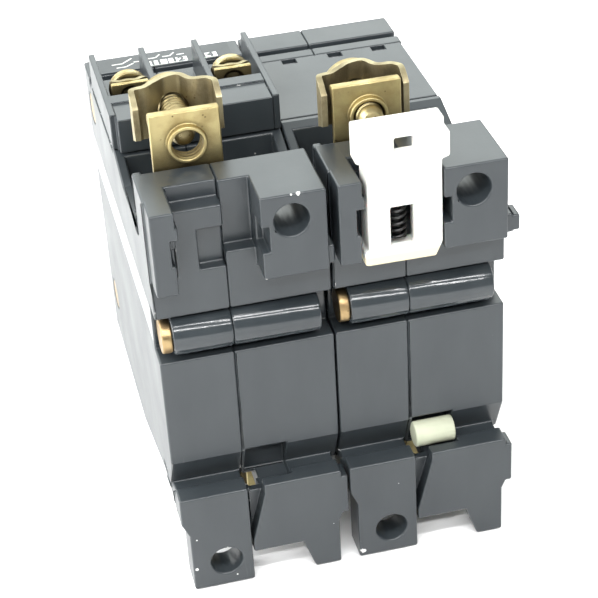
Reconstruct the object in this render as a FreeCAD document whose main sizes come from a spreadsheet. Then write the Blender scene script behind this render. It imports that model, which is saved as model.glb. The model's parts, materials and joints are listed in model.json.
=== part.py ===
"""Two-pole moulded-case circuit breaker with screw terminals and a sliding rail latch.

Frame: millimetres, +X to the right seen from behind, -Y towards the mounting rail, +Z up.
The origin is the centre of the rail seat: X midway between the poles, Y on the seat plane,
Z on the centreline of the 35 mm rail. Pole A lies at negative X and pole B at positive X.
"""
import FreeCAD, Part
import os
import re

import Sketcher

POLES = {"a": "pole_a_x", "b": "pole_b_x"}

# Driving dimensions. An x here is measured from the left edge of a pole.
DIMENSIONS = {
    # moulded poles
    "pole_a_x": -25.0,
    "pole_b_x": 0.0,
    "pole_pitch": 25.0,
    "pole_gap": 0.12,
    "seam_x": 10.6,
    "wall": 1.8,
    "seat_y": 0.0,
    "panel_y": -4.5,
    "front_y": 60.0,
    "shoulder_y": 29.0,
    "slope_y": 21.6,
    "ear_front_y": 7.5,
    "belly_y": 30.0,
    "heel_y": 9.0,
    "undercut_y": 3.0,
    "top_z": 23.0,
    "slope_z": 20.8,
    "ear_top_z": 30.2,
    "block_bottom_z": 11.5,
    "face_top_z": 4.3,
    "face_bottom_z": -13.1,
    "undercut_z": -19.5,
    "heel_z": -20.5,
    "bottom_z": -26.5,
    # clearances of the cutting tools and overlaps of the joined solids
    "overrun": 1.0,
    "overlap": 0.5,
    "end_play": 0.2,
    # hollow inside a pole
    "cavity_rear_y": 5.5,
    "cavity_step_y": 28.8,
    "cavity_front_y": 58.0,
    "cavity_low_z": -16.0,
    "cavity_floor_z": -21.5,
    "cavity_high_z": 13.0,
    "cavity_roof_z": 21.0,
    # rear rivet boss and its recess
    "rivet_recess_y": 4.1,
    "rivet_y": 1.5,
    "rivet_z": 8.0,
    "rivet_boss_r": 3.0,
    "rivet_start_x": 2.2,
    "rivet_end_x": 23.0,
    "rivet_r": 1.5,
    "rivet_hole_r": 1.55,
    "rivet_head_r": 2.5,
    "rivet_head_length": 1.0,
    "rivet_sink_depth": 1.2,
    "rivet_inset": 1.08,
    "rear_head_length": 1.5,
    "rivet_tail_r": 2.0,
    "rivet_tail_length": 1.2,
    "rivet_tail_sink_r": 2.05,
    "rivet_sink_r": 2.6,
    "front_rivet_y": 54.5,
    "front_rivet_upper_z": 17.5,
    "front_rivet_lower_z": -17.5,
    "front_boss_r": 2.7,
    # feet and rail hook
    "foot_bottom_z": -33.3,
    "slot_floor_z": -18.0,
    "hook_back_y": -1.3,
    "foot_back_y": 0.5,
    # mounting screws through the ears and feet
    "upper_hole_x": 19.0,
    "upper_hole_z": 26.3,
    "upper_hole_r": 2.4,
    "upper_hole_length": 14.0,
    "lower_hole_x": 6.15,
    "lower_hole_z": -28.9,
    "lower_hole_r": 2.35,
    "lower_hole_length": 8.0,
    "screw_groove_y": 20.0,
    "screw_groove_length": 45.0,
    "screw_groove_r": 4.2,
    # screw terminals
    "upper_terminal_x": 7.95,
    "upper_terminal_z": 33.5,
    "lower_terminal_x": 17.0,
    "lower_terminal_z": -27.8,
    "strap_y": 8.0,
    "strap_thickness": 1.0,
    "strap_half_width": 4.8,
    "strap_top_z": 38.0,
    "strap_leg_z": 10.0,
    "strap_leg_end_y": 26.0,
    "strap_leg_width": 6.8,
    "strap_leg_offset": 2.0,
    "lower_strap_bottom_z": -33.0,
    "lower_strap_leg_z": -15.4,
    "lower_strap_leg_end_y": 14.0,
    "collar_r": 2.7,
    "collar_length": 1.0,
    "thread_r": 2.15,
    "thread_bore_length": 12.0,
    "screw_r": 2.05,
    "screw_length": 10.1,
    "screw_tip_offset": -7.5,
    "screw_head_r": 4.3,
    "screw_head_length": 2.6,
    "screw_slot_width": 1.0,
    "screw_slot_depth": 1.1,
    "clamp_height": 7.9,
    "clamp_hole_r": 2.2,
    "clamp_upper_a_y": 17.0,
    "clamp_upper_b_y": 12.6,
    "clamp_lower_a_y": 15.0,
    "clamp_lower_b_y": 15.0,
    # contacts
    "fixed_contact_x": 9.6,
    "fixed_contact_y": 23.0,
    "contact_r": 2.2,
    "fixed_contact_length": 1.2,
    "arm_pivot_y": 40.0,
    "arm_pivot_z": 5.2,
    "arm_x": 8.1,
    "arm_width": 3.0,
    "braid_inset": 0.4,
    "arm_hub_r": 2.8,
    "arm_open_angle": 28.0,
    "arm_contact_reach": -17.0,
    "arm_contact_base_z": 2.0,
    "arm_contact_length": 1.5,
    "button_r": 1.4,
    "button_sink": 0.4,
    "arm_tail_y": 7.47,
    "arm_tail_z": -1.86,
    "pivot_pin_r": 1.5,
    "pivot_hole_r": 1.55,
    "pin_start_x": 3.2,
    "pin_length": 17.6,
    # handle and toggle link
    "handle_pivot_y": 51.5,
    "handle_pivot_z": 1.0,
    "handle_off_angle": -20.0,
    "handle_x": 8.5,
    "handle_width": 8.0,
    "hub_r": 6.2,
    "hub_slot_x": 7.5,
    "hub_slot_width": 6.8,
    "crank_y": -5.5,
    "crank_pin_r": 1.0,
    "crank_pin_overhang": 2.4,
    "crank_pin_x": 11.6,
    "crank_pin_length": 3.4,
    "link_x": 12.0,
    "link_width": 1.2,
    "link_eye_r": 1.8,
    "link_hole_r": 1.05,
    "link_slot_r": 1.75,
    "link_far_eye_r": 2.3,
    "link_rise_y": 1.14,
    "link_rise_z": 4.2,
    # mechanism frame and trip bar
    "frame_left_x": 5.0,
    "trip_bar_y": 35.5,
    "trip_bar_z": -5.0,
    "trip_bar_r": 1.5,
    "trip_bore_r": 2.7,
    "trip_bore_reach": 6.0,
    "trip_bar_hole_r": 1.6,
    "trip_bar_start_x": -21.0,
    "trip_bar_length": 41.5,
    # coil and armature
    "coil_x": 7.0,
    "coil_z": -11.0,
    "coil_y": 12.0,
    "coil_length": 18.0,
    "core_overhang": 0.4,
    "coil_r": 4.0,
    "core_r": 2.2,
    "core_bore_r": 2.25,
    "flange_r": 4.2,
    "flange_length": 1.0,
    # rail latch, its spring and the rail bumper of pole B
    "latch_y": -4.2,
    "latch_thickness": 2.9,
    "latch_backing": 1.1,
    "spring_x": 9.05,
    "spring_y": -1.25,
    "spring_z": 19.0,
    "spring_height": 5.0,
    "spring_turns": 5.0,
    "spring_r": 1.1,
    "spring_wire_r": 0.24,
    "bumper_x": 10.9,
    "bumper_length": 6.0,
    "bumper_y": -0.4,
    "bumper_z": -15.6,
    "bumper_r": 1.9,
    # auxiliary switch on pole A; its x values are absolute
    "aux_rib_top_z": 28.6,
    "aux_rib_end_y": 50.4,
    "aux_rib_width": 0.95,
    "aux_screw_z": 27.0,
    "aux_head_y": 39.1,
    "aux_head_r": 3.0,
    "aux_head_length": 2.4,
    "aux_shank_r": 1.6,
    "aux_shank_y": 36.4,
    "aux_hole_r": 1.65,
    "aux_hole_y": 35.0,
    "aux_hole_length": 10.0,
    "plunger_x": 20.5,
    "plunger_y": 46.5,
    "plunger_z": 14.0,
    "plunger_r": 1.2,
    "plunger_hole_r": 1.3,
    "plunger_hole_length": 20.0,
    "plunger_length": 10.0,
    # torsion springs on the contact pivots
    "contact_spring_x": 13.6,
    "contact_spring_length": 3.6,
    "contact_spring_r": 2.1,
    "contact_spring_wire_r": 0.35,
    "contact_spring_turns": 4.0,
}

# Boxes as (x, y, z, length, width, height). In a pole, x is measured from its left edge.
BLOCKS = {
    "left_pad": (0.3, -4.5, 17.8, 3.6, 4.6, 12.4),
    "left_pad_notch": (2.8, -5.0, 22.2, 1.6, 4.0, 3.8),
    "latch_relief": (3.3, -5.0, 17.0, 1.0, 4.9, 5.7),
    "left_pad_corner": (0.3, 7.4, 20.8, 2.9, 2.2, 8.6),
    "upper_recess": (3.6, -5.0, 27.8, 7.5, 7.7, 3.0),
    "spring_pocket": (7.0, -1.0, 18.4, 4.1, 2.6, 6.1),
    "left_pit": (1.6, 7.5, 14.5, 9.5, 19.8, 20.0),
    "left_hook": (0.12, -4.5, -18.2, 9.98, 3.2, 1.7),
    "left_web": (0.3, 0.4, -22.0, 9.8, 5.6, 4.0),
    "left_side_slit": (-0.5, 6.0, -19.6, 1.1, 3.0, 0.9),
    "right_pad": (14.8, -4.5, 17.8, 9.0, 4.6, 12.4),
    "right_pad_lug": (23.7, -3.6, 18.1, 1.1, 3.6, 2.9),
    "right_side_inset": (23.8, -5.0, 17.8, 2.0, 13.0, 13.0),
    "right_channel": (10.0, -1.0, 20.5, 4.8, 3.2, 10.5),
    "right_pad_notch": (14.5, -5.0, 21.9, 1.4, 4.6, 3.8),
    "right_pit": (10.0, 7.5, 14.5, 13.4, 19.8, 20.0),
    "lower_pit": (10.6, 7.5, -34.0, 13.0, 19.6, 16.5),
    "right_hook": (12.5, -4.5, -18.2, 11.4, 3.2, 1.7),
    "right_lug": (23.7, -4.5, -24.2, 1.1, 3.2, 6.7),
    "right_web": (12.5, 0.4, -22.0, 11.4, 5.6, 4.0),
    "foot_screen": (10.3, -2.3, -28.3, 2.6, 1.3, 10.1),
    "end_lug": (24.7, -3.6, 18.3, 1.1, 3.2, 2.4),
    "roller_pocket": (10.8, -2.5, -18.6, 6.2, 5.5, 5.6),
    "lower_driver_groove": (12.2, 26.0, -28.0, 9.6, 35.0, 4.4),
    "top_recess": (-0.5, 30.0, 22.0, 26.0, 20.0, 3.0),
    "top_slit": (-0.5, 52.5, 21.9, 26.0, 1.5, 2.0),
    "toggle_window": (8.0, 57.0, -7.5, 9.0, 4.0, 17.0),
    "upper_strap_slot": (3.1, 7.95, 12.5, 9.7, 1.1, 2.5),
    "lower_strap_slot": (12.15, 7.95, -18.0, 9.7, 1.1, 2.5),
    "cover_plate": (0.2, 30.15, 22.05, 24.4, 19.7, 0.95),
    "cover_notch": (0.0, 48.2, 21.0, 2.2, 2.0, 3.0),
    "frame_plate_left": (5.0, 33.4, -8.0, 1.0, 22.0, 19.5),
    "frame_plate_right": (18.5, 33.4, -8.0, 1.0, 22.0, 19.5),
    "frame_web": (5.0, 39.5, -9.0, 14.5, 11.0, 1.0),
    "trip_flag": (6.5, 30.0, -4.2, 2.5, 5.5, 0.9),
    "trip_flag_tab": (6.5, 29.2, -5.6, 2.5, 0.8, 2.3),
    "yoke_rear": (2.0, 10.8, -15.6, 9.2, 1.2, 9.0),
    "yoke_side": (2.0, 10.8, -14.0, 0.7, 22.4, 6.0),
    "armature_plate": (3.3, 31.5, -15.4, 7.6, 1.0, 10.8),
    "armature_foot": (3.3, 32.5, -15.4, 7.6, 1.4, 1.0),
    "coil_lead": (9.0, 12.2, -14.4, 5.0, 1.4, 0.9),
    "arc_wall_left": (5.4, 9.6, -5.6, 0.8, 9.6, 14.6),
    "arc_wall_right": (18.8, 9.6, -5.6, 0.8, 9.6, 14.6),
    "arc_plate": (6.25, 10.0, -5.0, 12.5, 8.8, 0.8),
    "arc_notch": (10.0, 15.5, -6.0, 5.0, 4.0, 3.0),
    "handle_stem": (8.8, 5.0, -3.0, 7.4, 14.5, 6.0),
    "handle_grip": (8.5, 15.5, -3.4, 8.0, 4.4, 6.8),
    "handle_tie": (-17.5, 20.0, -2.6, 35.0, 1.8, 5.2),
    "aux_floor": (-24.8, 30.1, 22.05, 24.6, 19.8, 1.6),
    "aux_ledge": (-24.0, 27.35, 23.05, 22.9, 5.4, 5.25),
    "aux_ledge_step": (-24.0, 32.6, 23.05, 22.9, 2.7, 5.55),
    "aux_middle_well": (-16.4, 33.0, 23.6, 7.0, 3.0, 6.0),
    "aux_plate_foot": (-23.2, 37.2, 23.65, 5.6, 6.4, 0.3),
    "aux_plate": (-23.2, 37.2, 23.65, 5.6, 0.8, 5.55),
    "aux_washer": (-23.3, 38.15, 24.2, 5.8, 0.75, 5.2),
    "label": (-24.3, 54.3, 23.0, 22.6, 5.2, 0.15),
    "latch_window": (7.45, -5.0, 19.5, 3.2, 5.5, 5.9),
    "latch_slot": (8.2, -5.0, 33.6, 2.6, 4.5, 2.0),
    "latch_slot_pocket": (6.6, -3.0, 32.8, 5.8, 4.0, 3.6),
    "latch_spring_pocket": (6.9, -3.1, 18.6, 4.3, 4.0, 7.0),
    "latch_lip_relief": (3.0, -1.3, 16.0, 13.0, 2.0, 2.2),
}

ARC_PLATE_COUNT = 6
ARC_PLATE_STEP = 2.4
COVER_NOTCH_X = (5.1, 12.5, 19.6)
AUX_RIB_X = (-24.88, -17.2, -8.9, -1.08)
AUX_RIB_START_Y = (28.8, 33.9, 33.9, 27.4)
AUX_SCREW_X = (-20.4, -4.9)

# Outlines as lists of points, in sheet names or millimetres.
BODY_OUTLINE = [
    ("seat_y", "face_bottom_z"),
    ("undercut_y", "undercut_z"),
    ("heel_y", "heel_z"),
    ("belly_y", "bottom_z"),
    ("front_y", "bottom_z"),
    ("front_y", "top_z"),
    ("shoulder_y", "top_z"),
    ("slope_y", "slope_z"),
    ("ear_front_y", "slope_z"),
    ("ear_front_y", "ear_top_z"),
    ("seat_y", "ear_top_z"),
    ("seat_y", "block_bottom_z"),
    ("rivet_recess_y", "block_bottom_z"),
    ("rivet_recess_y", "face_top_z"),
    ("seat_y", "face_top_z"),
]
CAVITY_OUTLINE = [
    ("cavity_rear_y", "cavity_low_z"),
    ("cavity_step_y", "cavity_low_z"),
    ("cavity_step_y", "cavity_floor_z"),
    ("cavity_front_y", "cavity_floor_z"),
    ("cavity_front_y", "cavity_roof_z"),
    ("cavity_step_y", "cavity_roof_z"),
    ("cavity_step_y", "cavity_high_z"),
    ("cavity_rear_y", "cavity_high_z"),
]
LEFT_FOOT_OUTLINE = [
    ("pole_gap", "slot_floor_z"),
    ("pole_gap", "-21.0"),
    ("1.1", "-23.3"),
    ("1.1", "foot_bottom_z"),
    ("10.1", "foot_bottom_z"),
    ("10.1", "slot_floor_z"),
]
RIGHT_FOOT_OUTLINE = [
    ("12.5", "slot_floor_z"),
    ("10.3", "-26.5"),
    ("10.3", "-28.3"),
    ("17.7", "-28.3"),
    ("19.4", "foot_bottom_z"),
    ("23.3", "foot_bottom_z"),
    ("23.3", "-25.5"),
    ("23.9", "-24.2"),
    ("23.9", "slot_floor_z"),
]
LATCH_OUTLINE = [
    ("4.5", "16.9"),
    ("3.8", "17.0"),
    ("3.7", "19.0"),
    ("4.3", "19.3"),
    ("4.3", "31.0"),
    ("3.9", "32.3"),
    ("2.9", "32.7"),
    ("2.9", "37.8"),
    ("15.0", "37.8"),
    ("15.0", "36.4"),
    ("15.8", "35.3"),
    ("15.8", "31.8"),
    ("14.7", "31.5"),
    ("14.7", "19.0"),
    ("13.7", "16.8"),
]
CLAMP_OUTLINE = [
    ("-6.2", "-4.0"),
    ("-6.2", "0.5"),
    ("-3.6", "1.0"),
    ("-2.4", "2.5"),
    ("2.4", "2.5"),
    ("3.6", "1.0"),
    ("6.2", "0.5"),
    ("6.2", "-4.0"),
    ("5.2", "-4.0"),
    ("5.2", "-0.4"),
    ("3.0", "0.0"),
    ("1.9", "1.5"),
    ("-1.9", "1.5"),
    ("-3.0", "0.0"),
    ("-5.2", "-0.4"),
    ("-5.2", "-4.0"),
]
ARM_OUTLINE = [
    ("1.6", "-2.6"),
    ("-3.0", "-1.6"),
    ("-19.0", "-0.4"),
    ("-19.4", "0.6"),
    ("-19.4", "2.0"),
    ("0.0", "2.6"),
]
TAIL_OUTLINE = [
    ("-0.6", "2.4"),
    ("8.6", "-0.4"),
    ("8.2", "-3.4"),
    ("-1.2", "-2.4"),
]
LINK_OUTLINE = [
    ("-1.6", "0.4"),
    ("1.7", "-0.4"),
    ("3.2", "3.9"),
    ("-0.9", "4.6"),
]
BRAID_OUTLINE = [
    ("33.6", "-11.0"),
    ("38.6", "-11.0"),
    ("38.6", "-4.0"),
    ("40.6", "0.6"),
    ("40.6", "1.8"),
    ("39.4", "1.8"),
    ("37.3", "-3.2"),
    ("37.3", "-10.0"),
    ("33.6", "-10.0"),
]

AXES = {
    "x": FreeCAD.Rotation(FreeCAD.Vector(0, 1, 0), 90),
    "y": FreeCAD.Rotation(FreeCAD.Vector(1, 0, 0), -90),
    "z": FreeCAD.Rotation(),
}
SIDES = ("length", "width", "height")

doc = FreeCAD.newDocument("molded_case_breaker")
sheet = doc.addObject("Spreadsheet::Sheet", "Dimensions")
values = dict(DIMENSIONS)
for block_name, numbers in BLOCKS.items():
    for key, number in zip(("x", "y", "z") + SIDES, numbers):
        values[f"{block_name}_{key}"] = number
for row, (alias, number) in enumerate(values.items(), start=1):
    sheet.set(f"A{row}", alias)
    sheet.set(f"B{row}", str(number))
    sheet.setAlias(f"B{row}", alias)
doc.recompute()

subparts = {}


def bound(text):
    """The expression text with every sheet name spelled out for the expression engine."""
    return re.sub(r"\b[a-z][a-z_0-9]*\b(?!\()", lambda match: "Dimensions." + match.group(), text)


def number_of(text):
    """The value of an expression of sheet names, plus, minus and brackets."""
    total = sheet.evalExpression(bound(text))
    return float(getattr(total, "Value", total))


def move(piece, x, y, z):
    """Bind the position of a piece to three expressions."""
    for key, text in zip("xyz", (x, y, z)):
        piece.setExpression(f"Placement.Base.{key}", bound(text))
    return piece


def box(name, x, y, z, length, width, height):
    piece = doc.addObject("Part::Box", name)
    for key, text in zip(("Length", "Width", "Height"), (length, width, height)):
        piece.setExpression(key, bound(text))
    return move(piece, x, y, z)


def block(name, start="0", shift="0", rise="0"):
    """A box of the table, moved by start along X, by shift along Y and by rise along Z."""
    return box(
        f"{name}_box",
        f"{start} + {name}_x",
        f"{shift} + {name}_y",
        f"{rise} + {name}_z",
        f"{name}_length",
        f"{name}_width",
        f"{name}_height",
    )


def cylinder(name, axis, x, y, z, radius, height):
    piece = doc.addObject("Part::Cylinder", name)
    piece.setExpression("Radius", bound(radius))
    piece.setExpression("Height", bound(height))
    piece.Placement = FreeCAD.Placement(FreeCAD.Vector(), AXES[axis])
    return move(piece, x, y, z)


def profile(name, plane, points, start, depth):
    """A closed outline drawn on an origin plane and padded from start along that plane's axis."""
    body = doc.addObject("PartDesign::Body", name)
    sketch = body.newObject("Sketcher::SketchObject", f"{name}_sketch")
    role = f"{plane}_Plane"
    origin_plane = [item for item in body.Origin.OriginFeatures if item.Role == role][0]
    sketch.AttachmentSupport = [(origin_plane, "")]
    sketch.MapMode = "FlatFace"
    corners = [FreeCAD.Vector(number_of(u), number_of(v), 0) for u, v in points]
    count = len(corners)
    for index in range(count):
        sketch.addGeometry(Part.LineSegment(corners[index], corners[(index + 1) % count]), False)
    for index in range(count):
        sketch.addConstraint(Sketcher.Constraint("Coincident", index, 2, (index + 1) % count, 1))
    for index, (u, v) in enumerate(points):
        for kind, place, text in (("DistanceX", corners[index].x, u), ("DistanceY", corners[index].y, v)):
            rule = sketch.addConstraint(Sketcher.Constraint(kind, -1, 1, index, 1, place))
            if re.search("[a-z]", text):
                sketch.setExpression(f"Constraints[{rule}]", bound(text))
    pad = body.newObject("PartDesign::Pad", f"{name}_pad")
    pad.Profile = sketch
    pad.Reversed = plane == "XZ"
    pad.setExpression("Length", bound(depth))
    travel = {"YZ": "x", "XZ": "y", "XY": "z"}[plane]
    body.setExpression(f"Placement.Base.{travel}", bound(start))
    return body


def fuse(name, *pieces):
    union = doc.addObject("Part::MultiFuse", name)
    union.Shapes = list(pieces)
    union.Refine = True
    return union


def cut(name, base, *tools):
    """The base less the tools."""
    difference = doc.addObject("Part::Cut", name)
    difference.Base = base
    difference.Tool = tools[0] if len(tools) == 1 else fuse(f"{name}_tools", *tools)
    difference.Refine = True
    return difference


def group(name, pieces):
    """Separate solids that share one node."""
    compound = doc.addObject("Part::Compound", name)
    compound.Links = pieces
    return compound


def turn(piece, angle, y, z, x="0"):
    """Turn a piece drawn round the X axis by an angle, and put its axis at y and z."""
    piece.Placement = FreeCAD.Placement(
        FreeCAD.Vector(), FreeCAD.Rotation(FreeCAD.Vector(1, 0, 0), number_of(angle))
    )
    piece.setExpression("Placement.Rotation.Angle", bound(angle))
    return move(piece, x, y, z)


def subpart(name, piece):
    piece.Label = name
    subparts[name] = piece
    return piece


def front_bosses(name, start, low, length):
    """Bosses round the two front rivets, inside a half-shell."""
    return [
        cylinder(f"{name}_boss", "x", f"{start} + {low}", "front_rivet_y", z, "front_boss_r", length)
        for z in ("front_rivet_upper_z", "front_rivet_lower_z")
    ]


def rivet_bores(name, start):
    """Through holes for the rivets, with sinks for their heads on both sides of a pole."""
    low = f"{start} - overrun"
    length = "pole_pitch + 2 * overrun"
    sink_length = "rivet_sink_depth + overrun"
    tools = [cylinder(f"{name}_rear_bore", "x", low, "rivet_y", "rivet_z", "rivet_hole_r", length)]
    for z in ("front_rivet_upper_z", "front_rivet_lower_z"):
        tools.append(cylinder(f"{name}_bore", "x", low, "front_rivet_y", z, "rivet_hole_r", length))
        for sink_x in (low, f"{start} + pole_pitch - rivet_sink_depth"):
            tools.append(
                cylinder(f"{name}_sink", "x", sink_x, "front_rivet_y", z, "rivet_sink_r", sink_length)
            )
    return tools


def left_shell(pole, start):
    """The narrow half of a pole: left pad, left foot and the left part of the hollow."""
    name = f"left_shell_{pole}"
    outline = profile(f"{name}_blank", "YZ", BODY_OUTLINE, f"{start} + pole_gap", "seam_x - pole_gap")
    hollow = profile(f"{name}_hollow", "YZ", CAVITY_OUTLINE, f"{start} + wall", "seam_x")
    hollowed = cut(f"{name}_hollowed", outline, hollow)
    foot = profile(f"{name}_foot", "XZ", LEFT_FOOT_OUTLINE, "panel_y", "foot_back_y - panel_y")
    foot.setExpression("Placement.Base.x", bound(start))
    boss = cylinder(
        f"{name}_rear_boss", "x", f"{start} + rivet_start_x", "rivet_y", "rivet_z",
        "rivet_boss_r", "seam_x - rivet_start_x",
    )
    solid = fuse(
        f"{name}_solid",
        hollowed,
        foot,
        boss,
        block("left_pad", start),
        block("left_pad_corner", start),
        block("left_hook", start),
        block("left_web", start),
        *front_bosses(name, start, "wall - overlap", "seam_x - wall + overlap"),
    )
    names = (
        "left_pad_notch", "latch_relief", "upper_recess", "spring_pocket", "left_pit", "left_side_slit",
        "top_recess", "top_slit", "toggle_window", "upper_strap_slot",
    )
    tools = [block(item, start) for item in names]
    tools += rivet_bores(name, start)
    tools.append(
        cylinder(
            f"{name}_screw_hole", "y", f"{start} + lower_hole_x", "panel_y - overrun", "lower_hole_z",
            "lower_hole_r", "lower_hole_length",
        )
    )
    tools.append(
        cylinder(
            f"{name}_screw_groove", "y", f"{start} + lower_hole_x", "screw_groove_y", "lower_hole_z",
            "screw_groove_r", "screw_groove_length",
        )
    )
    tools += trip_bar_hole(name)
    return subpart(name, cut(name, solid, *tools))


def right_shell(pole, start):
    """The wide half of a pole: right pad, hook plate and the right part of the hollow."""
    name = f"right_shell_{pole}"
    outline = profile(
        f"{name}_blank", "YZ", BODY_OUTLINE, f"{start} + seam_x", "pole_pitch - seam_x - pole_gap"
    )
    hollow = profile(
        f"{name}_hollow", "YZ", CAVITY_OUTLINE, f"{start} + seam_x - 1", "pole_pitch - seam_x - wall + 1"
    )
    hollowed = cut(f"{name}_hollowed", outline, hollow)
    foot = profile(f"{name}_foot", "XZ", RIGHT_FOOT_OUTLINE, "panel_y", "foot_back_y - panel_y")
    foot.setExpression("Placement.Base.x", bound(start))
    boss = cylinder(
        f"{name}_rear_boss", "x", f"{start} + seam_x", "rivet_y", "rivet_z",
        "rivet_boss_r", "rivet_end_x - seam_x",
    )
    tail_sink = cylinder(
        f"{name}_tail_sink", "x", f"{start} + rivet_end_x - rivet_tail_length", "rivet_y", "rivet_z",
        "rivet_tail_sink_r", "rivet_tail_length + overrun",
    )
    inset = cut(f"{name}_inset", hollowed, block("right_side_inset", start))
    end_lugs = [block("end_lug", start)] if pole == "b" else []
    solid = fuse(
        f"{name}_solid",
        inset,
        foot,
        boss,
        block("right_pad", start),
        block("right_pad_lug", start),
        block("right_hook", start),
        block("right_lug", start),
        block("right_web", start),
        block("foot_screen", start),
        *end_lugs,
        *front_bosses(name, start, "seam_x", "pole_pitch - wall - seam_x + overlap"),
    )
    names = (
        "right_channel", "right_pad_notch", "right_pit", "lower_pit", "roller_pocket", "lower_driver_groove",
        "top_recess", "top_slit", "toggle_window", "upper_strap_slot", "lower_strap_slot",
    )
    tools = [block(item, start) for item in names]
    tools += rivet_bores(name, start)
    tools.append(
        cylinder(
            f"{name}_screw_hole", "y", f"{start} + upper_hole_x", "panel_y - overrun", "upper_hole_z",
            "upper_hole_r", "upper_hole_length",
        )
    )
    tools.append(tail_sink)
    tools += trip_bar_hole(name)
    if pole == "a":
        tools.append(plunger_hole(name))
    return subpart(name, cut(name, solid, *tools))


def trip_bar_hole(name):
    """The passage of the common trip bar between the poles."""
    return [
        cylinder(
            f"{name}_trip_bore", "x", "-trip_bore_reach", "trip_bar_y", "trip_bar_z", "trip_bore_r",
            "2 * trip_bore_reach",
        )
    ]


def plunger_hole(name):
    return cylinder(
        f"{name}_plunger_bore", "z", "pole_a_x + plunger_x", "plunger_y", "plunger_z",
        "plunger_hole_r", "plunger_hole_length",
    )


def rivets():
    """Three assembly rivets in each pole, with a head at both ends."""
    solids = []
    for pole, start in POLES.items():
        low = f"{start} + rivet_start_x"
        name = f"rear_rivet_{pole}"
        solids.append(fuse(
            name,
            cylinder(
                f"{name}_shank", "x", low, "rivet_y", "rivet_z", "rivet_r",
                "rivet_end_x - rivet_start_x - end_play",
            ),
            cylinder(
                f"{name}_head", "x", f"{low} - rear_head_length", "rivet_y", "rivet_z",
                "rivet_head_r", "rear_head_length",
            ),
            cylinder(
                f"{name}_tail", "x", f"{start} + rivet_end_x - rivet_tail_length", "rivet_y", "rivet_z",
                "rivet_tail_r", "rivet_tail_length - end_play",
            ),
        ))
        low = f"{start} + pole_gap + rivet_inset"
        for side, z in (("upper", "front_rivet_upper_z"), ("lower", "front_rivet_lower_z")):
            name = f"front_{side}_rivet_{pole}"
            length = "pole_pitch - 2 * pole_gap - 2 * rivet_inset"
            shank = cylinder(f"{name}_shank", "x", low, "front_rivet_y", z, "rivet_r", length)
            left = cylinder(
                f"{name}_left", "x", f"{low} - rivet_head_length", "front_rivet_y", z,
                "rivet_head_r", "rivet_head_length",
            )
            right = cylinder(
                f"{name}_right", "x", f"{low} + {length}", "front_rivet_y", z,
                "rivet_head_r", "rivet_head_length",
            )
            solids.append(fuse(name, shank, left, right))
    return subpart("body_rivets", group("body_rivets", solids))


def upper_strap(pole, start):
    """The upper terminal strap, its threaded collar and its leg to the fixed contact."""
    name = f"upper_strap_{pole}"
    left = f"{start} + upper_terminal_x - strap_half_width"
    plate = box(
        f"{name}_plate", left, "strap_y", "strap_leg_z",
        "2 * strap_half_width", "strap_thickness", "strap_top_z - strap_leg_z",
    )
    collar = cylinder(
        f"{name}_collar", "y", f"{start} + upper_terminal_x", "strap_y - collar_length",
        "upper_terminal_z", "collar_r", "collar_length",
    )
    lip = cylinder(
        f"{name}_lip", "x", left, "strap_y + strap_thickness", "strap_top_z - strap_thickness",
        "strap_thickness", "2 * strap_half_width",
    )
    leg = box(
        f"{name}_leg", f"{start} + upper_terminal_x - strap_leg_offset", "strap_y", "strap_leg_z",
        "strap_leg_width", "strap_leg_end_y - strap_y", "strap_thickness",
    )
    bore = cylinder(
        f"{name}_bore", "y", f"{start} + upper_terminal_x", "seat_y", "upper_terminal_z", "thread_r",
        "thread_bore_length",
    )
    return subpart(name, cut(name, fuse(f"{name}_solid", plate, collar, lip, leg), bore))


def lower_strap(pole, start):
    """The lower terminal strap, with its collar and its short leg to the coil."""
    name = f"lower_strap_{pole}"
    left = f"{start} + lower_terminal_x - strap_half_width"
    plate = box(
        f"{name}_plate", left, "strap_y", "lower_strap_bottom_z",
        "2 * strap_half_width", "strap_thickness",
        "lower_strap_leg_z + strap_thickness - lower_strap_bottom_z",
    )
    leg = box(
        f"{name}_leg", left, "strap_y", "lower_strap_leg_z",
        "2 * strap_half_width", "lower_strap_leg_end_y - strap_y", "strap_thickness",
    )
    bore = cylinder(
        f"{name}_bore", "y", f"{start} + lower_terminal_x", "seat_y", "lower_terminal_z", "thread_r",
        "thread_bore_length",
    )
    return subpart(name, cut(name, fuse(f"{name}_solid", plate, leg), bore))


def clamp(level, pole, start):
    """A wavy clamp plate with two ears that wrap round the strap."""
    name = f"{level}_clamp_{pole}"
    x = f"{start} + {level}_terminal_x"
    y = f"clamp_{level}_{pole}_y"
    plate = profile(
        f"{name}_blank", "XY", CLAMP_OUTLINE, f"{level}_terminal_z - clamp_height / 2 + 1", "clamp_height"
    )
    plate.setExpression("Placement.Base.x", bound(x))
    plate.setExpression("Placement.Base.y", bound(y))
    hole = cylinder(f"{name}_hole", "y", x, f"{y} - 5", f"{level}_terminal_z", "clamp_hole_r", "10")
    return subpart(name, cut(name, plate, hole))


def terminal_screw(level, pole, start):
    """A slotted pan-head screw, entered from the front."""
    name = f"{level}_screw_{pole}"
    x = f"{start} + {level}_terminal_x"
    tip = f"clamp_{level}_{pole}_y + screw_tip_offset"
    z = f"{level}_terminal_z"
    shank = cylinder(f"{name}_shank", "y", x, tip, z, "screw_r", "screw_length + overlap")
    head = cylinder(
        f"{name}_head", "y", x, f"{tip} + screw_length", z, "screw_head_r", "screw_head_length"
    )
    slot = box(
        f"{name}_slot", f"{x} - screw_head_r - 1",
        f"{tip} + screw_length + screw_head_length - screw_slot_depth", f"{z} - screw_slot_width / 2",
        "2 * screw_head_r + 2", "screw_slot_depth + 1", "screw_slot_width",
    )
    return subpart(name, cut(name, fuse(f"{name}_solid", shank, head), slot))


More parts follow.
